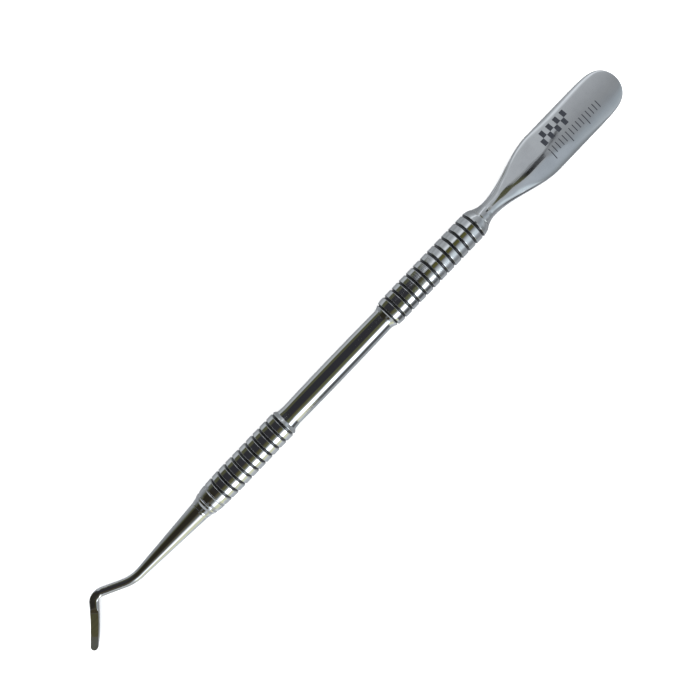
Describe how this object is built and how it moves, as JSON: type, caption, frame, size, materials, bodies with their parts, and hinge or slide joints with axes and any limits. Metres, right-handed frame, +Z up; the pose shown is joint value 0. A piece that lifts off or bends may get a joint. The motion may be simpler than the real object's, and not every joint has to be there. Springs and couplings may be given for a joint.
{
  "type": "double-ended dental elevator",
  "caption": "Double-ended steel hand instrument with a broad spoon blade, a thin angled pick and a round handle with ringed grips.",
  "frame": {"origin": "on the surface that the instrument lies on, under the handle's axis, 0.6 mm to the hook's side of the bounding box's centre", "axes": "+X along the handle's axis towards the blade, +Y towards the side that the hook's outer bend points to, +Z up, out of the blade's convex face"},
  "size_m": [0.1562, 0.0096, 0.0061],
  "materials": {
    "polished_steel": "mirror-polished stainless steel",
    "satin_steel": "fine satin polish, brushed along the blade",
    "solder": "silver solder, polished flush",
    "mark_filling": "dark matt filling in engraved marks"
  },
  "bodies": {
    "root": {"blade_end": "satin_steel", "upper_grip": "polished_steel", "centre_shaft": "polished_steel", "lower_grip": "polished_steel", "hook_end": "polished_steel", "blade_braze": "solder", "upper_shaft_braze": "solder", "lower_shaft_braze": "solder", "hook_braze": "solder", "scale_ticks": "mark_filling", "scale_bar": "mark_filling"}
  },
  "joints": []
}
